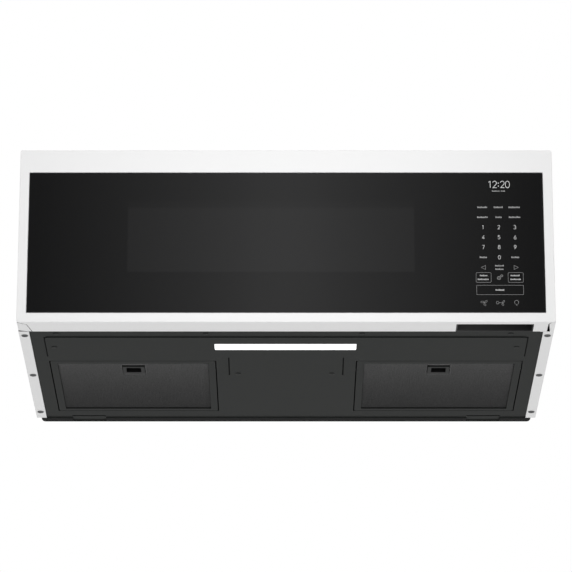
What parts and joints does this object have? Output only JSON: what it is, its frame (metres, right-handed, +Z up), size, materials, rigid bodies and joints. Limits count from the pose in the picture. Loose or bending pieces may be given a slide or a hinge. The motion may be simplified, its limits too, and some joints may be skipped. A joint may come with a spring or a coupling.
{
  "type": "over the range microwave",
  "caption": "Wall-hung microwave oven for over a cooktop: full-width side-hinged glass door, turntable oven, grease filters, task light and vent blower.",
  "frame": {"origin": "centre of the rear face that goes against the wall, half way up the case", "axes": "+Z up, +Y into the wall, +X to the right as seen by a person standing in front"},
  "size_m": [0.76, 0.465, 0.2616],
  "materials": {
    "white_paint": "smooth white appliance paint",
    "white_plastic": "white moulded frame, satin gloss",
    "charcoal_paint": "fine textured charcoal paint",
    "charcoal_aluminium": "charcoal painted aluminium",
    "black_plastic": "black moulded plastic, fine texture",
    "dark_glass": "black printed glass, polished",
    "clear_glass": "clear glass",
    "galvanised": "galvanised steel sheet",
    "steel": "plain steel",
    "enamel": "light grey oven enamel",
    "mica": "mica sheet, matt",
    "aluminium_mesh": "layered expanded aluminium mesh",
    "lamp_diffuser": "frosted white diffuser",
    "circuit_board": "green circuit board",
    "copper_core": "laminated core and copper winding",
    "nylon": "natural nylon",
    "dark_screw": "black zinc screw"
  },
  "bodies": {
    "chassis": {"outer_wrap": "white_paint", "base_plate": "charcoal_paint", "rear_panel": "charcoal_paint", "front_frame": "white_paint", "cavity_liner": "enamel", "waveguide_cover": "mica", "magnetron": "galvanised", "cooling_fan_housing": "black_plastic", "hv_transformer": "copper_core", "hv_capacitor": "galvanised", "blower_housing": "galvanised", "exhaust_duct": "galvanised", "bay_shelf": "galvanised", "blower_motor": "galvanised", "turntable_motor": "galvanised", "bottom_cover": "charcoal_paint", "led_lens": "lamp_diffuser", "top_vent_grille": "white_paint", "cord_gland": "black_plastic", "latch_board": "nylon", "hinge_bracket_lower": "dark_screw", "hinge_bracket_upper": "dark_screw", "corner_cap_right": "white_paint", "wrap_screw_left_front": "dark_screw", "wrap_screw_left_middle": "dark_screw", "wrap_screw_left_rear": "dark_screw", "wrap_screw_right_front": "dark_screw", "wrap_screw_right_middle": "dark_screw", "wrap_screw_right_rear": "dark_screw", "front_screw_1": "dark_screw", "front_screw_2": "dark_screw", "front_screw_3": "dark_screw", "front_screw_4": "dark_screw", "cover_screw_left": "dark_screw", "cover_screw_right": "dark_screw", "cover_screw_tab_left": "dark_screw", "cover_screw_tab_right": "dark_screw"},
    "door": {"door_frame": "white_plastic", "door_glass": "dark_glass", "door_inner_panel": "white_paint", "door_screen": "steel", "door_inner_pane": "clear_glass", "control_board": "circuit_board", "handle_pocket": "black_plastic"},
    "door_latch": {"door_latch": "nylon"},
    "turntable": {"glass_tray": "clear_glass", "drive_coupler": "nylon"},
    "roller_ring": {"roller_ring": "nylon"},
    "roller_1": {"roller_1": "nylon"},
    "roller_2": {"roller_2": "nylon"},
    "roller_3": {"roller_3": "nylon"},
    "blower_rotor": {"blower_wheel_left": "galvanised", "blower_wheel_right": "galvanised"},
    "cooling_fan": {"cooling_fan": "black_plastic"},
    "grease_filter_left": {"filter_frame_left": "charcoal_aluminium", "filter_mesh_left": "aluminium_mesh"},
    "grease_filter_right": {"filter_frame_right": "charcoal_aluminium", "filter_mesh_right": "aluminium_mesh"},
    "filter_latch_left": {"filter_latch_left": "black_plastic"},
    "filter_latch_right": {"filter_latch_right": "black_plastic"}
  },
  "joints": [
    {"name": "door_hinge", "type": "hinge", "parent": "chassis", "child": "door", "pos_m": [-0.374, -0.4515, -0.1302], "axis": [0, 0, 1], "range_deg": [-110, 0]},
    {"name": "door_latch_slide", "type": "slide", "parent": "door", "child": "door_latch", "axis": [0, 0, 1], "range_m": [0, 0.003], "stiffness_N_per_m": 300},
    {"name": "turntable_spin", "type": "hinge", "parent": "chassis", "child": "turntable", "pos_m": [-0.022, -0.2365, -0.0382], "axis": [0, 0, 1], "continuous": true},
    {"name": "roller_ring_spin", "type": "hinge", "parent": "chassis", "child": "roller_ring", "pos_m": [-0.022, -0.2365, -0.0449], "axis": [0, 0, 1], "continuous": true},
    {"name": "blower_spin", "type": "hinge", "parent": "chassis", "child": "blower_rotor", "pos_m": [0, -0.04, -0.0882], "axis": [1, 0, 0], "continuous": true},
    {"name": "cooling_fan_spin", "type": "hinge", "parent": "chassis", "child": "cooling_fan", "pos_m": [0.316, -0.035, 0.0448], "axis": [0, 1, 0], "continuous": true},
    {"name": "roller_1_spin", "type": "hinge", "parent": "roller_ring", "child": "roller_1", "pos_m": [0.0775, -0.2365, -0.0449], "axis": [1, 0, 0], "continuous": true},
    {"name": "roller_2_spin", "type": "hinge", "parent": "roller_ring", "child": "roller_2", "pos_m": [-0.07175, -0.15033, -0.0449], "axis": [-0.5, 0.866, 0], "continuous": true},
    {"name": "roller_3_spin", "type": "hinge", "parent": "roller_ring", "child": "roller_3", "pos_m": [-0.07175, -0.32267, -0.0449], "axis": [-0.5, -0.866, 0], "continuous": true},
    {"name": "filter_left_drop", "type": "hinge", "parent": "chassis", "child": "grease_filter_left", "pos_m": [-0.2233, -0.049, -0.1283], "axis": [1, 0, 0], "range_deg": [0, 75]},
    {"name": "filter_left_latch", "type": "slide", "parent": "grease_filter_left", "child": "filter_latch_left", "axis": [0, 1, 0], "range_m": [0, 0.005], "stiffness_N_per_m": 400},
    {"name": "filter_right_drop", "type": "hinge", "parent": "chassis", "child": "grease_filter_right", "pos_m": [0.2233, -0.049, -0.1283], "axis": [1, 0, 0], "range_deg": [0, 75]},
    {"name": "filter_right_latch", "type": "slide", "parent": "grease_filter_right", "child": "filter_latch_right", "axis": [0, 1, 0], "range_m": [0, 0.005], "stiffness_N_per_m": 400}
  ],
  "couplings": [
    {"joint": "roller_ring_spin", "follows": "turntable_spin", "ratio": 0.5},
    {"joint": "roller_1_spin", "follows": "turntable_spin", "ratio": -7.1071},
    {"joint": "roller_2_spin", "follows": "turntable_spin", "ratio": -7.1071},
    {"joint": "roller_3_spin", "follows": "turntable_spin", "ratio": -7.1071}
  ]
}
